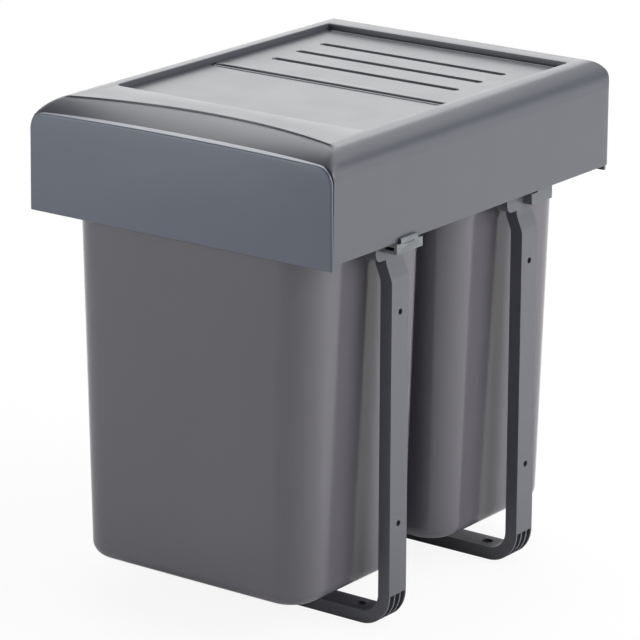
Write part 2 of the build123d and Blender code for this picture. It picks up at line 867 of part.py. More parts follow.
rivets = []
for setback in bracket_rivet_setbacks:
    rivets += both_sides(rivet(setback, bracket_sheet))
write("bracket_rivets", *rivets)

nuts = []
for x in stud_places():
    nuts += both_sides(panel_nut(x))
write("panel_nuts", *nuts)

for name, middle in zip(("front", "rear"), bin_middles()):
    write(name + "_bin", waste_bin(middle))
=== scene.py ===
import bpy
import math
import numpy as np
from mathutils import Matrix, Vector


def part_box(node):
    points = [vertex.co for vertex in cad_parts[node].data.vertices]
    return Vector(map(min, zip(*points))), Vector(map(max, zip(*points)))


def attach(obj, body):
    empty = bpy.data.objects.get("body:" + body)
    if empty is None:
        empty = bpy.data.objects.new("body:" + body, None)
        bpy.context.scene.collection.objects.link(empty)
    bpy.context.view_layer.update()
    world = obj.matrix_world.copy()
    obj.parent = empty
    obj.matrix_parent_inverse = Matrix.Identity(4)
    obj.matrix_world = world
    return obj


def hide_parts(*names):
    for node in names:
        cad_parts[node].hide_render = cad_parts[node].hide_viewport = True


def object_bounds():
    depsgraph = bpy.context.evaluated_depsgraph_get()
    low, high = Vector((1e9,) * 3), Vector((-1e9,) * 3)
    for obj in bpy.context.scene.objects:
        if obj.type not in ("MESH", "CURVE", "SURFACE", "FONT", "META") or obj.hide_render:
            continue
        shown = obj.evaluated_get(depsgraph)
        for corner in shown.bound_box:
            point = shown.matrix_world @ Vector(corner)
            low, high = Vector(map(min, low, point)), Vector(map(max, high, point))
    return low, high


bl_info = {
    "name": "Pull-out bin frame finish",
    "version": (1, 0, 0),
    "blender": (4, 5, 0),
    "location": "3D view > Sidebar > Bin frame",
    "description": "Finishes a pull-out twin waste bin frame and sets a plain studio round it",
    "category": "Object",
}

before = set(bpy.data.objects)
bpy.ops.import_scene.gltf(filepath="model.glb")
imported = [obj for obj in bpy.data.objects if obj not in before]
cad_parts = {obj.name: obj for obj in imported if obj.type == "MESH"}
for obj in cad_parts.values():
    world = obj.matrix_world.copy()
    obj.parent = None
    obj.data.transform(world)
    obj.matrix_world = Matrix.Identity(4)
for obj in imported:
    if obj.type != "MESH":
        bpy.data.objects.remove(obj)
cad_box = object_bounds()

MM = 0.001
SIDES = ("right", "left")
PLACES = ("front", "rear")

SHARP = 0.05 * MM  # radius of a corner that is drawn sharp, or a hair's step between two surfaces
CRISP = 0.3 * MM  # radius of a crisp corner, or a small step between two surfaces
LEAST_CORNER = 0.4 * MM  # least corner radius of the hood's recess
SHADE_ANGLE = 35  # degrees below which a new piece's faces are shaded as one
BEVEL_ANGLE = 40  # degrees above which a carried-over node's edges are rounded


def number(label, value, description, **settings):
    """A number property."""
    return bpy.props.FloatProperty(name=label, default=value, description=description, **settings)


def length(label, millimetres, description):
    """A length property with its default in millimetres."""
    return number(label, millimetres * MM, description, unit="LENGTH", subtype="DISTANCE", precision=5)


def colour(label, red, green, blue, description):
    """A colour property with its default in display values from 0 to 255."""
    linear = [display_to_linear(value / 255) for value in (red, green, blue)]
    return bpy.props.FloatVectorProperty(name=label, description=description, default=(*linear, 1.0),
                                         size=4, min=0.0, max=1.0, subtype="COLOR")


def display_to_linear(value):
    """The display curve undone: a straight toe below 0.04045 and a power of 2.4 above it."""
    return value / 12.92 if value <= 0.04045 else ((value + 0.055) / 1.055) ** 2.4


# Settings

class BinSizes(bpy.types.PropertyGroup):
    """Sizes of the waste bins that the frame's own boxes don't give."""
    rim_width: length("Rim width", 3.4, "How far the rim stands out of the wall")
    rim_thickness: length("Rim thickness", 2.5, "Height of the rim's edge")
    rim_rounding: length("Rim rounding", 0.9, "Radius of the rim's edges")
    wall: length("Wall", 1.8, "Thickness of the walls and floor")
    side_draft: length("Side draft", 7.0, "How far each side leans in from top to bottom")
    front_draft: length("Front draft", 0.5, "How far the front leans in from top to bottom")
    back_draft: length("Back draft", 5.0, "How far the back leans in from top to bottom")
    top_corner: length("Top corner", 27.0, "Radius of the upright corners at the rim")
    base_corner: length("Base corner", 25.0, "Radius of the upright corners at the floor")
    base_radius: length("Base radius", 10.0, "Radius between the walls and the floor")
    foot_width: length("Foot width", 7.0, "Width of the flat foot round the raised floor")
    foot_rise: length("Foot rise", 1.6, "How far the floor is raised inside the foot")
    foot_rounding: length("Foot rounding", 1.2, "Radius of the foot's inner edge")


class HoodSizes(bpy.types.PropertyGroup):
    """Sizes of the hood's form, which its box alone doesn't give."""
    wall: length("Wall", 2.5, "Thickness of the hood's walls")
    side_radius: length("Side rounding", 20.0, "Radius along the top sides")
    back_radius: length("Back rounding", 9.0, "Radius along the top back edge")
    corner_radius: length("Corner radius", 6.0, "Radius of the upright back corners")
    front_gap: length("Front", 8.5, "From the panel's face to the middle of the hood's front")
    front_cap: length("Front cap", 21.0, "Height of the hood's front above its opening")
    ear_gap: length("Ear", 2.3, "From the panel's face to the side walls' front ends")
    arch_radius: length("Arch radius", 335.0, "Radius of the arched line in plan")
    arch_setback: length("Arch setback", 42.0, "From the panel's face to the arched line")
    arch_drop: length("Arch drop", 9.0, "Fall of the dish from the arched line to its front edge")
    arch_swell: number("Arch swell", 0.53, "How far the dish swells above a straight fall", subtype="FACTOR")
    arch_step: length("Arch step", 1.0, "Small step down at the arched line")
    arch_step_run: length("Step run", 0.6, "Run of the small step")
    recess_border: length("Recess border", 23.6, "From the hood's sides to the recess")
    recess_front: length("Recess front", 66.0, "From the panel's face to the recess")
    recess_back_border: length("Recess back border", 23.7, "From the hood's back to the recess")
    recess_front_radius: length("Recess front corner", 5.0, "Radius of the recess's front corners")
    recess_back_radius: length("Recess back corner", 1.6, "Radius of the recess's back corners")
    recess_rounding: length("Recess edge", 0.8, "Rounding of the recess's top edge")
    ledge_depth: length("Ledge depth", 8.0, "From the top down to the lids' ledge")
    ledge_width: length("Ledge width", 4.5, "Width of the lids' ledge")
    bridge_width: length("Bridge width", 16.0, "Width of the bridge under the lids' seam")
    bridge_drop: length("Bridge drop", 4.0, "From the ledge down to the bridge, less a wall")
    seam_setback: length("Seam", 173.128, "From the panel's face to the seam between the lids")
    lip_drop: length("Lip drop", 4.8, "Height of the lip under the back edge")
    lip_inset: length("Lip inset", 3.6, "From the hood's sides to the lip's ends")
    edge_rounding: length("Edge", 0.5, "Rounding of the walls' lower edges")
    join: length("Join", 0.5, "How far the walls overlap the top below its rounding")


class PanelSizes(bpy.types.PropertyGroup):
    """Sizes of the folded front panel."""
    sheet: length("Sheet", 1.8, "Thickness of the sheet")
    corner: length("Corner", 12.0, "Radius of the top corners")
    fold: length("Fold", 1.4, "Radius of the front face's edges")
    top_return: length("Top return", 8.0, "Depth of the return in the middle of the top edge")
    crown: length("Crown", 2.1, "How far the top edge falls from its middle to its ends")
    taper: length("Taper", 1.0, "How far each side leans in from bottom to top")
    base_corner: length("Base corner", 0.8, "Radius of the lower corners")
    stud_radius: length("Stud radius", 2.0, "Radius of the studs on the back")
    stud_length: length("Stud length", 4.6, "How far the studs stand out of the sheet")
    stud_outer: length("Outer stud", 101.95, "From the middle plane to the outer studs")
    stud_inner: length("Inner stud", 88.95, "From the middle plane to the inner studs")
    stud_drop: length("Stud drop", 12.4, "From the panel's top to the studs")


class LidSizes(bpy.types.PropertyGroup):
    """Sizes of the two lids."""
    thickness: length("Thickness", 3.2, "Thickness of the lids")
    rounding: length("Edge", 0.6, "Rounding of the top edges")
    corner: length("Corner", 4.6, "Radius of the front corners")
    lip_height: length("Lip height", 0.8, "Height of the lip along the front edge")
    lip_width: length("Lip width", 4.0, "Width of the lip along the front edge")
    barrel_radius: length("Barrel radius", 2.4, "Radius of the hinge barrel")
    barrel_inset: length("Barrel inset", 5.7, "From the lid's sides to the thick barrel")
    barrel_drop: length("Barrel drop", 0.2, "How far the hinge lies below the lid's middle")
    pin_radius: length("Pin radius", 1.5, "Radius of the hinge pins")
    pin_length: length("Pin length", 1.8, "Length of the hinge pins")
    groove_width: length("Groove width", 6.5, "Width of the long grooves")
    groove_depth: length("Groove depth", 1.8, "Depth of the long grooves")
    groove_pitch: length("Groove pitch", 29.3, "Distance between the grooves")
    groove_end_gap: length("Groove ends", 24.6, "From the lid's sides to the grooves' ends")


class EdgeSizes(bpy.types.PropertyGroup):
    """Edge roundings that moulds, folds and presses leave."""
    moulded: length("Moulded edge", 0.45, "Radius on moulded plastic edges")
    folded: length("Folded edge", 0.4, "Radius on cut and folded sheet edges")
    turned: length("Turned edge", 0.2, "Radius on small metal fasteners")


class FinishColours(bpy.types.PropertyGroup):
    """Colour of each finish."""
    hood: colour("Hood", 79, 81, 88, "Moulded cover and lids")
    panel: colour("Panel", 82, 89, 104, "Powder-coated front panel")
    support: colour("Support frames", 85, 86, 92, "Moulded support frames")
    clip: colour("Clips", 88, 91, 94, "Clips at the hood's edge")
    bins: colour("Bins", 93, 91, 97, "Waste bins")
    rail: colour("Rails", 150, 152, 155, "Coated runners and brackets")
    carrier: colour("Carrier", 92, 94, 98, "Painted bin carrier")
    nylon: colour("Rollers", 222, 221, 216, "Nylon rollers")
    steel: colour("Fasteners", 168, 170, 172, "Zinc-plated fasteners")


class StudioSettings(bpy.types.PropertyGroup):
    """Camera, lamps and floor."""
    azimuth: number("Azimuth", math.radians(36.62), "Camera angle round the object", subtype="ANGLE")
    elevation: number("Elevation", math.radians(16.95), "Camera angle above the floor", subtype="ANGLE")
    roll: number("Roll", math.radians(0.20), "Camera turn about its own axis", subtype="ANGLE")
    distance: length("Distance", 2780.03, "From the aim point to the camera")
    pan: length("Pan", 22.11, "Aim moved along the picture's width")
    tilt: length("Tilt", 26.86, "Aim moved along the picture's height")
    lens: number("Lens", 216.02, "Focal length in millimetres")
    side_power: number("Side lamp", 44.0, "Power of the large lamp on the right", unit="POWER")
    top_power: number("Top lamp", 30.0, "Power of the large lamp overhead", unit="POWER")
    front_power: number("Front lamp", 22.0, "Power of the soft lamp at the front left", unit="POWER")
    back_power: number("Back lamp", 64.0, "Power of the low lamp that gives the sheen", unit="POWER")
    rim_power: number("Rim lamp", 9.0, "Power of the low lamp at the back right", unit="POWER")
    room: number("Room light", 0.08, "Strength of the even room light", min=0.0)
    floor_lift: number("Floor lift", 0.9, "How far the seen floor is lifted to white", subtype="FACTOR")


# Materials

EVEN = (1, 1, 1)
RUB_AND_HIGHLIGHT_FROM = 0.53  # pointiness at which an edge starts to lighten, partly rubbed and partly a painted highlight
RUB_AND_HIGHLIGHT_FULL = 0.62  # pointiness at which the rubbing and the painted highlight are full


def add_node(tree, kind, values=None, **settings):
    """A new node with its settings and the values of its sockets."""
    made = tree.nodes.new(kind)
    for key, value in settings.items():
        setattr(made, key, value)
    for key, value in (values or {}).items():
        made.inputs[key].default_value = value
    return made


class Finish:
    """A node material with one shader and helpers that add procedural detail to it."""

    def __init__(self, name, base, roughness, values=None):
        self.material = bpy.data.materials.new(name)
        self.material.use_nodes = True
        self.tree = self.material.node_tree
        self.shader = self.tree.nodes["Principled BSDF"]
        self.base = base
        self.roughness = roughness
        for key, value in (values or {}).items():
            self.shader.inputs[key].default_value = value
        self.place = add_node(self.tree, "ShaderNodeTexCoord").outputs["Object"]

    def link(self, source, target):
        """Join an output to an input."""
        self.tree.links.new(source, target)

    def noise(self, size, detail=2.0, stretch=EVEN):
        """Noise in object space whose features are about the given size in metres."""
        spread = add_node(self.tree, "ShaderNodeMapping", {"Scale": stretch})
        made = add_node(self.tree, "ShaderNodeTexNoise", {"Scale": 1 / size, "Detail": detail})
        self.link(self.place, spread.inputs["Vector"])
        self.link(spread.outputs["Vector"], made.inputs["Vector"])
        return made.outputs["Fac"]

    def ranged(self, value, low, high):
        """A noise value, most of which lies between 0.2 and 0.8, spread between two limits."""
        limits = {"From Min": 0.2, "From Max": 0.8, "To Min": low, "To Max": high}
        made = add_node(self.tree, "ShaderNodeMapRange", limits, interpolation_type="SMOOTHSTEP")
        self.link(value, made.inputs["Value"])
        return made.outputs["Result"]

    def mottle(self, size, share, stretch=EVEN):
        """Colour that drifts by a small share either way."""
        darker, lighter = ([channel * (1 + way * share) for channel in self.base[:3]] for way in (-1, 1))
        mix = add_node(self.tree, "ShaderNodeMix", {"A": darker + [1.0], "B": lighter + [1.0]},
                       data_type="RGBA")
        self.link(self.ranged(self.noise(size, stretch=stretch), 0.0, 1.0), mix.inputs["Factor"])
        self.link(mix.outputs["Result"], self.shader.inputs["Base Color"])
        return self

    def rub_and_paint_highlight(self, share, size=0.004):
        """Colour lifted towards a lighter shade, 1.6 times as bright and a little more, in patches where
        the surface turns sharply outwards: partly rubbed edges, partly a painted highlight along them."""
        limits = {"From Min": RUB_AND_HIGHLIGHT_FROM, "From Max": RUB_AND_HIGHLIGHT_FULL, "To Max": share}
        edge = add_node(self.tree, "ShaderNodeMapRange", limits)
        shape = add_node(self.tree, "ShaderNodeNewGeometry")
        self.link(shape.outputs["Pointiness"], edge.inputs["Value"])
        patch = add_node(self.tree, "ShaderNodeMath", operation="MULTIPLY")
        self.link(edge.outputs["Result"], patch.inputs[0])
        self.link(self.ranged(self.noise(size), 0.5, 1.0), patch.inputs[1])
        # colour of the rubbed edges and the painted highlight: the base lifted 1.6 times and a little more
        lighter = [min(1.0, 0.12 + 1.6 * channel) for channel in self.base[:3]]
        mix = add_node(self.tree, "ShaderNodeMix", {"B": lighter + [1.0]}, data_type="RGBA")
        self.link(patch.outputs[0], mix.inputs["Factor"])
        self.link(self.shader.inputs["Base Color"].links[0].from_socket, mix.inputs["A"])
        self.link(mix.outputs["Result"], self.shader.inputs["Base Color"])
        return self

    def polish(self, size, spread, stretch=EVEN):
        """Roughness that drifts by a small amount either way."""
        drift = self.ranged(self.noise(size, stretch=stretch), self.roughness - spread,
                            self.roughness + spread)
        self.link(drift, self.shader.inputs["Roughness"])
        return self

    def relief(self, *layers):
        """Bump made of noise layers, each a feature size, a height and a stretch."""
        below = None
        for size, height, stretch in layers:
            bump = add_node(self.tree, "ShaderNodeBump", {"Strength": 1.0, "Distance": height})
            self.link(self.noise(size, detail=3.0, stretch=stretch), bump.inputs["Height"])
            if below is not None:
                self.link(below, bump.inputs["Normal"])
            below = bump.outputs["Normal"]
        self.link(below, self.shader.inputs["Normal"])
        return self


def moulded_plastic(name, base, roughness, grain, edge_rub_and_highlight=0.5):
    """Injection-moulded plastic: faint flow marks in colour and gloss over a fine spark-eroded grain, whose
    depth is given in metres."""
    made = Finish(name, base, roughness)
    # edges lightened: partly rubbed, partly a painted highlight
    made.mottle(0.06, 0.02, (1, 1, 0.4)).polish(0.03, 0.02).rub_and_paint_highlight(edge_rub_and_highlight)
    return made.relief((0.0006, grain, EVEN)).material


def coated_sheet(name, base, roughness, coat):
    """Powder-coated sheet: slight orange peel over a flat colour, with a thin clear sheen."""
    made = Finish(name, base, roughness, {"Coat Weight": coat, "Coat Roughness": 0.25})
    # edges lightened: partly rubbed, partly a painted highlight
    made.mottle(0.04, 0.015).polish(0.02, 0.025).rub_and_paint_highlight(0.4)
    return made.relief((0.0012, 0.000006, EVEN), (0.0003, 0.0000015, EVEN)).material


def plated_steel(name, base):
    """Zinc-plated steel: bright metal with fine brushing and a patchy passivated tint."""
    made = Finish(name, base, 0.34, {"Metallic": 1.0})
    # edges lightened: partly rubbed, partly a painted highlight
    made.mottle(0.004, 0.06).polish(0.003, 0.06).rub_and_paint_highlight(0.4, 0.001)
    return made.relief((0.0004, 0.000004, (1, 1, 6))).material


def nylon(name, base):
    """Natural nylon: soft and slightly see-through, with faint turning marks."""
    made = Finish(name, base, 0.42, {"Subsurface Weight": 0.15, "Subsurface Scale": 0.002})
    # edges lightened: partly rubbed, partly a painted highlight
    made.mottle(0.01, 0.015).polish(0.004, 0.04).rub_and_paint_highlight(0.3, 0.002)
    return made.relief((0.0007, 0.000005, (6, 1, 1))).material


def clothe(obj, material):
    """Give a piece one material."""
    obj.data.materials.clear()
    obj.data.materials.append(material)


def soften(obj, radius):
    """Weld a carried-over node's triangles and round its sharp edges."""
    weld = obj.modifiers.new("weld", "WELD")
    weld.merge_threshold = 1e-6
    bevel = obj.modifiers.new("edge", "BEVEL")
    bevel.width = radius
    bevel.segments = 2
    bevel.limit_method = "ANGLE"
    bevel.angle_limit = math.radians(BEVEL_ANGLE)
    bevel.use_clamp_overlap = True
    bevel.harden_normals = True
    evened = obj.modifiers.new("evened", "WEIGHTED_NORMAL")
    evened.weight = 100


def dress(nodes, material, radius):
    """Finish carried-over nodes with a material and softened edges."""
    for name in nodes:
        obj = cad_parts[name]
        clothe(obj, material)
        soften(obj, radius)


# Surfaces

class Shell:
    """Closed surface: points, four-sided faces and a few flat many-sided caps."""

    def __init__(self, points, quads, caps=()):
        self.points = np.asarray(points, float)
        self.quads = np.asarray(quads, int)
        self.caps = [np.asarray(cap, int) for cap in caps]
        if self.volume() < 0:
            self.quads = self.quads[:, ::-1]
            self.caps = [cap[::-1] for cap in self.caps]

    def volume(self):
        """Volume by the divergence theorem: a sixth of the summed triple products of a fan per face."""
        centre = self.points.mean(axis=0)
        total = 0.0
        for face in [self.quads] + [cap[None, :] for cap in self.caps]:
            corners = self.points[face] - centre
            first = np.broadcast_to(corners[:, :1], corners[:, 1:-1].shape)
            total += np.sum(first * np.cross(corners[:, 1:-1], corners[:, 2:]))
        return total / 6

    def faces(self, offset):
        """Faces as plain lists, with every index moved by the offset."""
        return (self.quads + offset).tolist() + [(cap + offset).tolist() for cap in self.caps]


def add_piece(name, shells, body, node, material):
    """Make one mesh of closed shells, tie it to its body, and hide the node that it replaces."""
    counts = np.cumsum([0] + [len(shell.points) for shell in shells])
    points = np.concatenate([shell.points for shell in shells])
    faces = sum((shell.faces(int(start)) for shell, start in zip(shells, counts)), [])
    mesh = bpy.data.meshes.new(name)
    mesh.from_pydata(points.tolist(), [], faces)
    mesh.update()
    obj = bpy.data.objects.new(name, mesh)
    bpy.context.scene.collection.objects.link(obj)
    mesh.shade_smooth()
    mesh.set_sharp_from_angle(angle=math.radians(SHADE_ANGLE))
    clothe(obj, material)
    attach(obj, body)
    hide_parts(node)


def grid_quads(rows, columns, wrap_rows=False, wrap_columns=True):
    """Faces of a grid of points, joined to itself across the ends that wrap."""
    index = np.arange(rows * columns).reshape(rows, columns)
    down = np.roll(index, -1, axis=0)
    right = np.roll(index, -1, axis=1)
    across = np.roll(down, -1, axis=1)
    used = np.s_[:rows if wrap_rows else rows - 1, :columns if wrap_columns else columns - 1]
    return np.stack([index[used], right[used], across[used], down[used]], axis=-1).reshape(-1, 4)


def tube(rings, closed=False):
    """Closed rings joined in order, with a cap on each end or the last joined to the first."""
    rows, columns = rings.shape[:2]
    first = np.arange(columns)
    caps = [] if closed else [first[::-1], first + (rows - 1) * columns]
    return Shell(rings.reshape(-1, 3), grid_quads(rows, columns, wrap_rows=closed), caps)


def arc(start, end, steps):
    """Sine and cosine over a turn in degrees."""
    turn = np.radians(np.linspace(start, end, steps))
    return np.sin(turn), np.cos(turn)


def outline(half, y0, y1, front_radius, back_radius, counts=(3, 3, 3), bias=1.0, steps=14):
    """Rounded rectangle in plan, counter-clockwise from the left end of its front edge. A corner is a
    quarter circle, and a side is divided evenly, or by a power of its share that crowds points forward."""
    def corner(x, y, start, radius):
        sine, cosine = arc(start, start + 90, steps)
        return np.stack([x + radius * cosine, y + radius * sine], axis=-1)

    def side(start, end, count, exponent, backwards):
        share = np.arange(1, count + 1) / (count + 1)
        share = 1 - (1 - share) ** exponent if backwards else share ** exponent
        return start + share[:, None] * (np.asarray(end) - start)

    f, b = front_radius, back_radius
    corners = [corner(half - f, y0 + f, -90, f), corner(half - b, y1 - b, 0, b),
               corner(b - half, y1 - b, 90, b), corner(f - half, y0 + f, 180, f)]
    across, along, behind = counts
    plans = [(across, 1, False), (along, bias, False), (behind, 1, False), (along, bias, True)]
    parts = []
    for index, plan in enumerate(plans):
        parts += [side(corners[index - 1][-1], corners[index][0], *plan), corners[index]]
    return np.concatenate(parts)


def at_height(plan, z):
    """A plan curve lifted to one height, or to a height for each of its points."""
    return np.column_stack([plan, np.broadcast_to(z, len(plan))])


def slab(across, along, half_width, top, bottom):
    """Plate between a curved top and a flat bottom. Lines across are shares of the half width, which may
    change along the plate, and the top is a height at every crossing."""
    y = np.broadcast_to(along[:, None], (len(along), len(across)))
    x = half_width(along)[:, None] * across[None, :]
    upper = np.stack([x, y, top(x, y)], axis=-1)
    lower = np.stack([x, y, np.full_like(x, bottom)], axis=-1)
    rows, columns = x.shape
    count = rows * columns
    index = np.arange(count).reshape(rows, columns)
    rim = np.concatenate([index[0, :-1], index[:-1, -1], index[-1, :0:-1], index[:0:-1, 0]])
    face = grid_quads(rows, columns, wrap_columns=False)
    following = np.roll(rim, -1)
    wall = np.stack([rim, rim + count, following + count, following], axis=-1)
    points = np.concatenate([upper.reshape(-1, 3), lower.reshape(-1, 3)])
    return Shell(points, np.concatenate([face, face[:, ::-1] + count, wall]))


def turned(stations, radii, y, z, steps=24):
    """Bar round a line along X, with a radius at every station."""
    sine, cosine = arc(0, 360, steps + 1)
    radii = np.asarray(radii, float)[:, None]
    x = np.broadcast_to(np.asarray(stations, float)[:, None], (len(stations), steps))
    return tube(np.stack([x, y + radii * cosine[:-1], z + radii * sine[:-1]], axis=-1))


def edge_drop(distance, radius):
    """How far a rounded edge has fallen at a distance in from its outline: a quarter circle."""
    left = radius - np.minimum(distance, radius)
    return radius - np.sqrt(np.maximum(radius ** 2 - left ** 2, 0))


def bar(half, y0, y1, z0, z1, radius):
    """Bar across the middle plane: a rounded rectangle carried along X and drawn in at each end."""
    sine, cosine = arc(0, 360, 33)
    sine, cosine = sine[:-1], cosine[:-1]
    ahead, above = np.sign(cosine), np.sign(sine + 1e-9)
    y = (y0 + y1) / 2 + ahead * ((y1 - y0) / 2 - radius) + radius * cosine
    z = (z0 + z1) / 2 + above * ((z1 - z0) / 2 - radius) + radius * sine
    first = np.array([-half, -half + radius * 0.3, -half + radius])
    stations = np.concatenate([first, -first[::-1]])
    shrink = np.array([radius, radius * 0.3, 0, 0, radius * 0.3, radius])[:, None]
    x = np.broadcast_to(stations[:, None], (len(stations), len(y)))
    return tube(np.stack([x, y - shrink * ahead, z - shrink * above], axis=-1))


# Bins

def bin_profile(sizes, low, high):
    """Inset and height of each row of a bin, from the middle of its underside up the outside, over the
    rim and down the inside to the floor. Every rounding is a quarter circle, and a row close to it keeps
    the lightened edges, partly rubbed and partly a painted highlight, from running along the wall."""
    rows = []

    def turn(inset, height, radius, start, end, steps):
        sine, cosine = arc(start, end, steps)
        rows.extend(zip(inset + radius * cosine, height + radius * sine))

    base, wall, rim = sizes.base_radius, sizes.wall, sizes.rim_width
    soft = sizes.rim_rounding
    step = sizes.foot_rounding
    foot = base + sizes.foot_width
    rows.append((foot + 2 * step, low + sizes.foot_rise))
    turn(foot + step, low + sizes.foot_rise - step, step, 90, 180, 5)
    rows.append((foot - step / 2, low))
    turn(base, low + base, base, -90, -180, 12)
    under = high - sizes.rim_thickness
    rows += [(0, low + 1.3 * base), (0, under - rim), (0, under)]
    turn(soft - rim, under + soft, soft, -90, -180, 5)
    turn(soft - rim, high - soft, soft, 180, 90, 5)
    turn(wall - soft, high - soft, soft, 90, 0, 5)
    rows += [(wall, high - 2 * soft), (wall, high - 4 * soft), (wall, low + 1.3 * base), (wall, low + base)]
    turn(base, low + base, base - wall, 180, 270, 10)
    return rows


def bin_shell(sizes, node):
    """A bin: at each height the half sizes and the corner radius lie between those at the floor and
    those at the rim, less the profile's inset."""
    low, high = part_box(node)
    rings = []
    for inset, z in bin_profile(sizes, low.z, high.z):
        share = 1 - (z - low.z) / (high.z - low.z)
        half_x = (high.x - low.x) / 2 - sizes.rim_width - sizes.side_draft * share - inset
        y0 = low.y + sizes.rim_width + sizes.front_draft * share + inset
        y1 = high.y - sizes.rim_width - sizes.back_draft * share - inset
        corner = sizes.top_corner + (sizes.base_corner - sizes.top_corner) * share
        radius = max(corner - inset, sizes.wall)
        rings.append(at_height(outline(half_x, y0, y1, radius, radius), z))
    return tube(np.array(rings))


# Hood

HOOD_COLUMNS = (110, 44, 34)  # points along the front, each side and the back
HOOD_BIAS = 1.8  # how strongly the points along the sides crowd forward
HOOD_STEPS = 7  # points round each corner
FAN_BLEND = 0.86  # share of the front's half width where its rows start to take the sides' spacing
DISH_ROWS = (0, 0.0035, 0.007, 0.0105, 0.014, 0.0175, 0.021, 0.025, 0.03, 0.04, 0.06)  # over the small step


class HoodForm:
    """The hood's outer form, and at an inset its inner one, as a height over the plan."""

    def __init__(self, sizes):
        low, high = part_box("hood")
        self.sizes = sizes
        self.half = high.x
        self.back = high.y
        self.top = high.z
        self.front = cad_box[0].y + sizes.ear_gap
        self.axis = cad_box[0].y + sizes.arch_setback - sizes.arch_radius
        self.bottom = low.z + sizes.lip_drop

    def height(self, x, y, inset):
        """Height over the plan. The sides and the back fall away from the flat top by circles, joined as
        the eighth root of their summed eighth powers. The dish falls by a small smooth step at the arched
        line and then by a parabola of its share of the way to the front edge, and it joins the rest as
        the fourth root of their summed fourth powers, which rounds the corner between them."""
        s = self.sizes
        side = s.side_radius - inset
        behind = s.back_radius - inset
        beyond_side = np.clip(np.abs(x) - (self.half - s.side_radius), 0, side)
        beyond_back = np.clip(y - (self.back - s.back_radius), 0, behind)
        over_side = 1 - np.sqrt(1 - (beyond_side / side) ** 2)
        over_back = (behind - np.sqrt(behind ** 2 - beyond_back ** 2)) / side
        rim = (over_side ** 8 + over_back ** 8) ** (1 / 8)
        crest = self.axis + np.sqrt(s.arch_radius ** 2 - x ** 2)
        inside = np.clip(crest - y, 0, None)
        step = np.clip(inside / s.arch_step_run, 0, 1)
        share = inside / (crest - self.front_line(x))
        dish = s.arch_step * step ** 2 * (3 - 2 * step)
        dish += s.arch_drop * (share - s.arch_swell * share * (1 - share))
        total = (rim ** 4 + (dish / side) ** 4) ** (1 / 4)
        return self.top - inset - side * total

    def front_line(self, x):
        """Y of the hood's front, which reaches forward to the panel by the fourth power of x."""
        return self.front + (self.sizes.front_gap - self.sizes.ear_gap) * (1 - (x / self.half) ** 4)

    def edge(self, inset):
        """Plan of the outer walls."""
        plan = outline(self.half - inset, self.front + inset, self.back - inset, CRISP,
                       self.sizes.corner_radius - inset / 2, HOOD_COLUMNS, HOOD_BIAS, HOOD_STEPS)
        count = HOOD_COLUMNS[0]
        plan[:count, 1] = self.front_line(plan[:count, 0]) + inset
        return plan

    def crest(self):
        """Plan of the line where the flat top ends: the arch in front, and straight lines elsewhere."""
        s = self.sizes
        half = self.half - s.side_radius
        start = self.axis + math.sqrt(s.arch_radius ** 2 - half ** 2)
        plan = outline(half, start, self.back - s.back_radius, SHARP, SHARP, HOOD_COLUMNS, HOOD_BIAS,
                       HOOD_STEPS)
        count = HOOD_COLUMNS[0]
        plan[:count, 1] = self.axis + np.sqrt(s.arch_radius ** 2 - plan[:count, 0] ** 2)
        return plan

    def recess(self, grow):
        """Plan of the recess for the lids, grown outwards."""
        s = self.sizes
        half = self.half - s.recess_border + grow
        y0 = cad_box[0].y + s.recess_front - grow
        y1 = self.back - s.recess_back_border + grow
        return outline(half, y0, y1, max(s.recess_front_radius + grow, LEAST_CORNER),
                       max(s.recess_back_radius + grow, LEAST_CORNER), HOOD_COLUMNS, HOOD_BIAS, HOOD_STEPS)

    def fan(self, shares, inset):
        """Rows from the crest out to the walls. The share of the way is taken straight in front and as a
        sine at the sides, so that the rows crowd where the rounding turns down."""
        inner = self.crest()
        outer = self.edge(inset)
        weight = np.ones(len(inner))
        count = HOOD_COLUMNS[0]
        near = np.abs(inner[:count, 0]) / abs(inner[-1, 0])
        near = np.clip((near - FAN_BLEND) / (1 - FAN_BLEND), 0, 1)
        weight[:count] = near ** 2 * (3 - 2 * near)
        rows = []
        for share in shares:
            way = (share + weight * (math.sin(math.pi / 2 * share) - share))[:, None]
            plan = inner + way * (outer - inner)
            rows.append(at_height(plan, self.height(plan[:, 0], plan[:, 1], inset)))
        return rows


def hood_cap(form):
    """Top of the hood: rows go up the recess wall, out over the flat, down the rounding or the dish to the
    shoulder, and back inside under the wall thickness to the ledge."""
    s = form.sizes
    wall = s.wall
    ledge = form.top - s.ledge_depth
    under = ledge - wall
    soft = s.recess_rounding
    shoulder = np.full(len(form.crest()), form.top - s.side_radius - s.join)
    shoulder[:HOOD_COLUMNS[0]] = form.top - s.front_cap
    rows = [at_height(form.recess(-s.ledge_width), ledge), at_height(form.recess(0.0), ledge),
            at_height(form.recess(0.0), (ledge + form.top) / 2)]
    sine, cosine = arc(0, 90, 6)
    for up, out in zip(sine, 1 - cosine):
        rows.append(at_height(form.recess(soft * out), form.top - soft + soft * up))
    grown = form.recess(soft)
    rows += [at_height(grown + share * (form.crest() - grown), form.top) for share in (0.5, 0.9, 0.98)]
    rows += form.fan(np.concatenate([DISH_ROWS, np.linspace(0.09, 1, 30)]), 0.0)
    rows.append(at_height(form.edge(0.0), shoulder))
    rows.append(at_height(form.edge(wall), shoulder))
    rows += form.fan(np.linspace(1, 0, 14), wall)
    rows += [at_height(form.recess(wall), form.top - wall), at_height(form.recess(wall), under),
             at_height(form.recess(-s.ledge_width), under)]
    return tube(np.array(rows), closed=True)


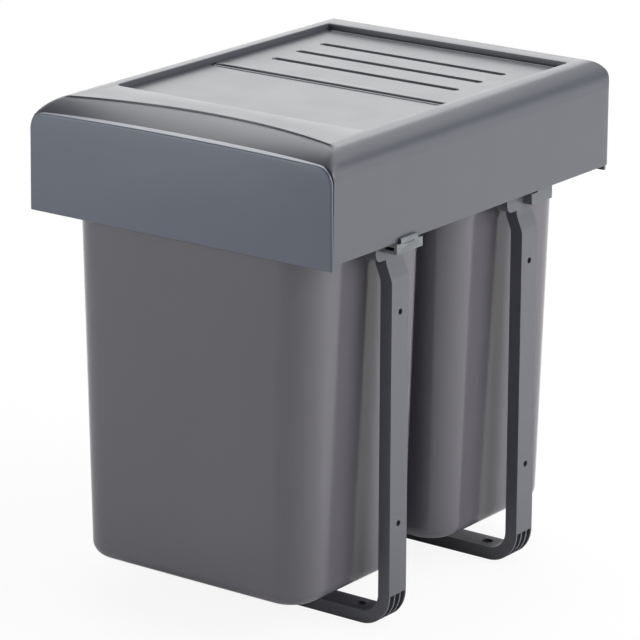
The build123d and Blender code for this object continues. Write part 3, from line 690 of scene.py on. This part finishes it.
def hood_skirt(form):
    """Side and back walls below the shoulder: a wall section with a rounded lower edge, carried round the
    outline from one front end to the other."""
    s = form.sizes
    top = form.top - s.side_radius - s.join
    soft = s.edge_rounding
    sine, cosine = arc(0, 90, 5)
    heights = [top, top - soft, (top + form.bottom) / 2, form.bottom + 3 * soft]
    section = [(0.0, height) for height in heights]
    section += list(zip(soft - soft * cosine, form.bottom + soft - soft * sine))
    section += list(zip(s.wall - soft + soft * sine, form.bottom + soft - soft * cosine))
    section += [(s.wall, height) for height in heights[::-1]]
    columns = []
    for inset, z in section:
        plan = outline(form.half - inset, form.front, form.back - inset, SHARP, s.corner_radius - inset / 2,
                       (1, *HOOD_COLUMNS[1:]), 1.0, HOOD_STEPS)
        columns.append(at_height(plan[HOOD_STEPS:1 - HOOD_STEPS], z))
    return tube(np.swapaxes(np.array(columns), 0, 1))


def hood_shells(sizes):
    """The hood with the lip on its back edge and the bridge under the seam between the lids."""
    form = HoodForm(sizes)
    lip = bar(form.half - sizes.lip_inset, form.back - sizes.wall, form.back - SHARP,
              form.bottom - sizes.lip_drop, form.bottom + sizes.wall, sizes.edge_rounding)
    seam = cad_box[0].y + sizes.seam_setback
    top = form.top - sizes.ledge_depth - sizes.bridge_drop + sizes.wall
    half = form.half - sizes.recess_border - sizes.ledge_width + sizes.wall
    bridge = bar(half, seam - sizes.bridge_width / 2, seam + sizes.bridge_width / 2, top - sizes.wall,
                 top - CRISP, sizes.edge_rounding)
    return [hood_cap(form), hood_skirt(form), lip, bridge]


# Front panel

def panel_shell(sizes):
    """Folded panel: its outline, a rounded rectangle whose top edge falls by the square of x and whose
    sides lean in evenly, is carried round the front face's rounded edge and back over the sheet's edge.
    Along the top it runs back further, by the fourth power of x, to make the return."""
    low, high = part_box("front_panel")
    rings = []

    def ring(inset, depth, reach=0.0):
        plan = outline(high.x - inset, low.z + inset, high.z - inset, sizes.base_corner,
                       sizes.corner - inset, (24, 16, 80), steps=12)
        share = plan[:, 0] / high.x
        rise = (plan[:, 1] - low.z) / (high.z - low.z)
        x = plan[:, 0] - sizes.taper * share * rise
        z = plan[:, 1] - sizes.crown * share ** 2 * rise
        near_top = np.clip((plan[:, 1] - high.z + sizes.corner) / (sizes.corner - inset), 0, 1)
        y = low.y + depth + reach * near_top * np.clip(1 - share ** 4, 0, 1)
        rings.append(np.column_stack([x, y, z]))

    sine, cosine = arc(0, 90, 7)
    for back, out in zip(1 - cosine, sine):
        ring(sizes.fold * (1 - out), sizes.fold * back)
    reach = sizes.top_return - sizes.sheet
    ring(0.0, sizes.sheet, reach)
    ring(sizes.sheet, sizes.sheet, reach)
    ring(sizes.sheet * 1.2, sizes.sheet)
    return tube(np.array(rings))


def panel_studs(sizes):
    """Four round studs on the panel's back, each with a chamfered tip."""
    low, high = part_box("front_panel")
    root = low.y + sizes.sheet
    tip = root + sizes.stud_length
    radius = sizes.stud_radius
    stations = [root - sizes.sheet / 4, tip - radius / 4, tip]
    studs = []
    for x in (sizes.stud_outer, sizes.stud_inner, -sizes.stud_inner, -sizes.stud_outer):
        stud = turned(stations, [radius, radius, 0.75 * radius], x, high.z - sizes.stud_drop)
        studs.append(Shell(stud.points[:, [1, 0, 2]], stud.quads, stud.caps))
    return studs


# Lids

def spaced(low, high, near_edge, count):
    """Lines between two edges, with more of them close to each edge."""
    near = np.asarray(near_edge)
    middle = np.linspace(low + near[-1], high - near[-1], count)
    return np.concatenate([low + near[:-1], middle, high - near[:0:-1], [high]])


def lid_shells(sizes, node, grooved):
    """Lid: a plate with rounded edges, a low lip along its front and, on the rear one, three long grooves.
    A groove's depth is a parabola of the distance to its middle line, times its steepness and cut off
    flat at its depth. A hinge barrel with a pin at each end lies along the back edge."""
    low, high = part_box(node)
    pins = sizes.pin_length
    half = high.x - pins
    top = high.z - sizes.lip_height
    axis = high.y - sizes.barrel_radius
    bottom = top - sizes.thickness
    soft = sizes.rounding
    corner = sizes.corner
    near = soft * np.array([0, 0.05, 0.15, 0.35, 0.6, 1])
    lip_run = 1.2 * MM
    lip_end_run = 2.0 * MM
    steepness = 1.7
    groove_half = sizes.groove_width / 2
    groove_end = half - sizes.groove_end_gap
    centres = (low.y + axis) / 2 + sizes.groove_pitch * np.array([-1, 0, 1]) if grooved else np.array([])
    across = spaced(-half, half, near, 40)
    along = spaced(low.y, axis, near, 40)
    ring = np.concatenate([-np.linspace(1.1, 0, 12)[:-1], np.linspace(0, 1.1, 12)]) * groove_half
    ends = np.linspace(-1.4, 0.6, 16) * groove_half
    if grooved:
        across = np.concatenate([across, groove_end + ends, -groove_end - ends])
        along = np.concatenate([along] + [centre + ring for centre in centres])
    lip = low.y + sizes.lip_width
    along = np.concatenate([along, low.y + corner * np.array([0.1, 0.25, 0.45, 0.7, 1.0]),
                            lip + lip_run * np.linspace(-0.5, 0.5, 7)])
    across = np.unique(np.round(across, 6))
    along = np.unique(np.round(along, 6))

    def half_width(y):
        left = corner - np.clip(y - low.y, 0, corner)
        return half - corner + np.sqrt(corner ** 2 - left ** 2)

    def height(x, y):
        width = half_width(y[:, 0])[:, None]
        inside = np.minimum(np.minimum(width - np.abs(x), y - low.y), axis - y)
        z = top - edge_drop(np.maximum(inside, 0), soft)
        rise = np.clip((lip - y) / lip_run + 0.5, 0, 1)
        rise = rise * np.clip((half - corner - np.abs(x)) / lip_end_run, 0, 1)
        z += sizes.lip_height * rise ** 2 * (3 - 2 * rise)
        for centre in centres:
            away = np.hypot(np.clip(np.abs(x) - (groove_end - groove_half), 0, None), y - centre)
            z -= sizes.groove_depth * np.clip(steepness * (1 - (away / groove_half) ** 2), 0, 1)
        return z

    plate = slab(across / half, along, half_width, height, bottom)
    barrel = half - sizes.barrel_inset
    thin = sizes.thickness / 2 - CRISP
    pin = sizes.pin_radius
    chamfer = 0.4 * MM
    stations = np.array([-half - pins, -half - pins + chamfer, -half, -half, -barrel, -barrel])
    radii = np.array([pin * 0.7, pin, pin, thin, thin, sizes.barrel_radius])
    bar_x = np.concatenate([stations, -stations[::-1]])
    bar_r = np.concatenate([radii, radii[::-1]])
    z = bottom + sizes.thickness / 2 - sizes.barrel_drop
    return [plate, turned(bar_x, bar_r, axis, z)]


# Studio

AIM_DEPTH = 200 * MM  # from the panel's face to the point that the camera looks at
AIM_HEIGHT = 200 * MM  # height of that point
FLOOR_REACH = 12.0  # half of the floor's width, in metres

# Each lamp's name, power setting, place, the point it faces, and its width and height, in metres.
LAMPS = (
    ("side lamp", "side_power", (1.95, 0.55, 1.0), (0.0, 0.0, 0.15), (1.4, 1.8)),
    ("top lamp", "top_power", (0.1, 0.9, 2.0), (0.0, 0.2, 0.3), (2.4, 2.4)),
    ("front lamp", "front_power", (-1.2, -1.8, 0.8), (0.0, -0.1, 0.2), (1.2, 1.4)),
    ("back lamp", "back_power", (-2.2, 2.0, 1.7), (0.0, 0.0, 0.35), (3.2, 3.1)),
    ("rim lamp", "rim_power", (1.7, 2.3, 0.5), (0.0, 0.0, 0.3), (2.6, 1.0)),
)


def add_camera(scene, settings):
    """Camera on a sphere round the aim point, moved along its own picture plane by the pan and tilt."""
    a, e, r = settings.azimuth, settings.elevation, settings.roll
    away = Vector((math.sin(a) * math.cos(e), -math.cos(a) * math.cos(e), math.sin(e)))
    level = Vector((math.cos(a), math.sin(a), 0))
    upright = away.cross(level)
    right = level * math.cos(r) + upright * math.sin(r)
    up = upright * math.cos(r) - level * math.sin(r)
    aim = Vector((0, cad_box[0].y + AIM_DEPTH, AIM_HEIGHT))
    place = aim + away * settings.distance - right * settings.pan - up * settings.tilt
    data = bpy.data.cameras.new("camera")
    data.lens = settings.lens
    data.sensor_width = 36
    data.clip_start = 0.05
    data.clip_end = 50
    camera = bpy.data.objects.new("camera", data)
    camera.matrix_world = Matrix.Translation(place) @ Matrix((right, up, away)).transposed().to_4x4()
    scene.collection.objects.link(camera)
    scene.camera = camera


def seen_directly(tree):
    """One where the camera sees the surface, and nothing elsewhere."""
    return add_node(tree, "ShaderNodeLightPath").outputs["Is Camera Ray"]


def add_floor(whiteness):
    """Pale floor, lifted towards white where it is seen, so that it still takes a soft shadow."""
    mesh = bpy.data.meshes.new("floor")
    corners = np.array([(-1, -1, 0), (1, -1, 0), (1, 1, 0), (-1, 1, 0)]) * FLOOR_REACH
    mesh.from_pydata(corners.tolist(), [], [(0, 1, 2, 3)])
    floor = bpy.data.objects.new("floor", mesh)
    bpy.context.scene.collection.objects.link(floor)
    material = bpy.data.materials.new("pale floor")
    material.use_nodes = True
    tree = material.node_tree
    tree.nodes.clear()
    out = add_node(tree, "ShaderNodeOutputMaterial")
    matt = add_node(tree, "ShaderNodeBsdfDiffuse", {"Color": (0.9, 0.9, 0.9, 1)})
    glow = add_node(tree, "ShaderNodeEmission", {"Strength": 1.0})
    blend = add_node(tree, "ShaderNodeMixShader")
    lift = add_node(tree, "ShaderNodeMath", {1: whiteness}, operation="MULTIPLY")
    tree.links.new(seen_directly(tree), lift.inputs[0])
    tree.links.new(lift.outputs[0], blend.inputs["Fac"])
    tree.links.new(matt.outputs[0], blend.inputs[1])
    tree.links.new(glow.outputs[0], blend.inputs[2])
    tree.links.new(blend.outputs[0], out.inputs["Surface"])
    mesh.materials.append(material)


def add_room(scene, strength):
    """Even room light, white where it is seen."""
    world = bpy.data.worlds.new("room")
    world.use_nodes = True
    tree = world.node_tree
    light = tree.nodes["Background"]
    light.inputs["Color"].default_value = (1, 1, 1, 1)
    spread = add_node(tree, "ShaderNodeMapRange", {"To Min": strength, "To Max": 1.0})
    tree.links.new(seen_directly(tree), spread.inputs["Value"])
    tree.links.new(spread.outputs["Result"], light.inputs["Strength"])
    scene.world = world


def add_lamp(name, place, aim, size, watts):
    """A soft rectangular lamp that faces a point."""
    data = bpy.data.lights.new(name, "AREA")
    data.shape = "RECTANGLE"
    data.size, data.size_y = size
    data.energy = watts
    lamp = bpy.data.objects.new(name, data)
    lamp.location = place
    lamp.rotation_mode = "QUATERNION"
    lamp.rotation_quaternion = (Vector(aim) - Vector(place)).to_track_quat("-Z", "Y")
    bpy.context.scene.collection.objects.link(lamp)


# Operators

class BINFRAME_OT_bins(bpy.types.Operator):
    """Build both waste bins as drafted shells with a rolled rim and a foot"""
    bl_idname = "binframe.bins"
    bl_label = "Waste bins"
    bl_options = {"REGISTER", "UNDO"}

    def execute(self, context):
        scene = context.scene
        finish = moulded_plastic("bin plastic", scene.bin_colours.bins, roughness=0.14, grain=0.0000003)
        for place in PLACES:
            node = place + "_bin"
            shell = bin_shell(scene.bin_sizes, node)
            add_piece(place + "_waste_bin", [shell], node, node, finish)
        return {"FINISHED"}


class BINFRAME_OT_hood(bpy.types.Operator):
    """Build the hood with its dished front and recess, and the two lids"""
    bl_idname = "binframe.hood"
    bl_label = "Hood and lids"
    bl_options = {"REGISTER", "UNDO"}

    def execute(self, context):
        scene = context.scene
        finish = moulded_plastic("hood plastic", scene.bin_colours.hood, roughness=0.3, grain=0.000001,
                                 edge_rub_and_highlight=0.0)
        add_piece("hood_cover", hood_shells(scene.bin_hood), "cabinet_frame", "hood", finish)
        for place in PLACES:
            node = place + "_lid"
            shells = lid_shells(scene.bin_lids, node, place == "rear")
            add_piece(node + "_plate", shells, node, node, finish)
        return {"FINISHED"}


class BINFRAME_OT_panel(bpy.types.Operator):
    """Build the folded front panel with its narrowing top return"""
    bl_idname = "binframe.panel"
    bl_label = "Front panel"
    bl_options = {"REGISTER", "UNDO"}

    def execute(self, context):
        scene = context.scene
        finish = coated_sheet("panel coating", scene.bin_colours.panel, roughness=0.34, coat=0.25)
        shells = [panel_shell(scene.bin_panel)] + panel_studs(scene.bin_panel)
        add_piece("folded_panel", shells, "carriage", "front_panel", finish)
        return {"FINISHED"}


class BINFRAME_OT_frames(bpy.types.Operator):
    """Finish the support frames and the clips on their heads"""
    bl_idname = "binframe.frames"
    bl_label = "Support frames and clips"
    bl_options = {"REGISTER", "UNDO"}

    def execute(self, context):
        scene = context.scene
        finish = moulded_plastic("frame plastic", scene.bin_colours.support, roughness=0.36, grain=0.000002)
        dress([place + "_support_frame" for place in PLACES], finish, scene.bin_edges.moulded)
        finish = moulded_plastic("clip plastic", scene.bin_colours.clip, roughness=0.34, grain=0.000002)
        clips = [place + "_" + side + "_hood_clip" for place in PLACES for side in SIDES]
        dress(clips, finish, scene.bin_edges.folded)
        return {"FINISHED"}


class BINFRAME_OT_runners(bpy.types.Operator):
    """Finish the rails, rollers, carrier, brackets and fasteners"""
    bl_idname = "binframe.runners"
    bl_label = "Runners and carrier"
    bl_options = {"REGISTER", "UNDO"}

    def execute(self, context):
        scene = context.scene
        colours = scene.bin_colours
        edges = scene.bin_edges
        kinds = ("outer_rail", "inner_rail", "panel_bracket")
        rails = [side + "_" + kind for side in SIDES for kind in kinds]
        dress(rails, coated_sheet("rail coating", colours.rail, roughness=0.38, coat=0.2), edges.turned)
        paint = coated_sheet("carrier paint", colours.carrier, roughness=0.45, coat=0.15)
        dress(["bin_carrier"], paint, edges.folded)
        rollers = [side + "_" + place + "_roller" for side in SIDES for place in PLACES]
        dress(rollers, nylon("roller nylon", colours.nylon), edges.turned)
        small = ["front_roller_pins", "rear_roller_pins", "outer_rail_screws", "carrier_rivets",
                 "bracket_rivets", "panel_nuts"]
        dress(small, plated_steel("zinc plate", colours.steel), edges.turned)
        return {"FINISHED"}


class BINFRAME_OT_studio(bpy.types.Operator):
    """Set up the floor, the lamps and the camera"""
    bl_idname = "binframe.studio"
    bl_label = "Studio"
    bl_options = {"REGISTER", "UNDO"}

    def execute(self, context):
        scene = context.scene
        settings = scene.bin_studio
        add_camera(scene, settings)
        add_floor(settings.floor_lift)
        add_room(scene, settings.room)
        for name, key, place, aim, size in LAMPS:
            add_lamp(name, place, aim, size, getattr(settings, key))
        scene.view_settings.view_transform = "Standard"
        return {"FINISHED"}


# Panel and registration

STEPS = (BINFRAME_OT_bins, BINFRAME_OT_hood, BINFRAME_OT_panel, BINFRAME_OT_frames, BINFRAME_OT_runners,
         BINFRAME_OT_studio)
GROUPS = {"bin_sizes": BinSizes, "bin_hood": HoodSizes, "bin_panel": PanelSizes, "bin_lids": LidSizes,
          "bin_edges": EdgeSizes, "bin_colours": FinishColours, "bin_studio": StudioSettings}


class BINFRAME_PT_steps(bpy.types.Panel):
    """Lists the steps and their settings in the sidebar."""
    bl_label = "Bin frame"
    bl_idname = "BINFRAME_PT_steps"
    bl_space_type = "VIEW_3D"
    bl_region_type = "UI"
    bl_category = "Bin frame"

    def draw(self, context):
        for step in STEPS:
            self.layout.operator(step.bl_idname)
        for group in GROUPS:
            settings = getattr(context.scene, group)
            box = self.layout.box()
            for key in settings.bl_rna.properties.keys():
                if key not in ("rna_type", "name"):
                    box.prop(settings, key)


def register():
    """Register the settings, the steps and the panel, and tie the settings to the scene."""
    for group in GROUPS.values():
        bpy.utils.register_class(group)
    for step in STEPS:
        bpy.utils.register_class(step)
    bpy.utils.register_class(BINFRAME_PT_steps)
    for key, group in GROUPS.items():
        setattr(bpy.types.Scene, key, bpy.props.PointerProperty(type=group))


def unregister():
    """Undo what register does, in reverse."""
    for key in GROUPS:
        delattr(bpy.types.Scene, key)
    bpy.utils.unregister_class(BINFRAME_PT_steps)
    for step in reversed(STEPS):
        bpy.utils.unregister_class(step)
    for group in reversed(list(GROUPS.values())):
        bpy.utils.unregister_class(group)


def main():
    """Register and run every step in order."""
    register()
    for step in STEPS:
        group, name = step.bl_idname.split(".")
        getattr(getattr(bpy.ops, group), name)()


if __name__ == "__main__":
    main()
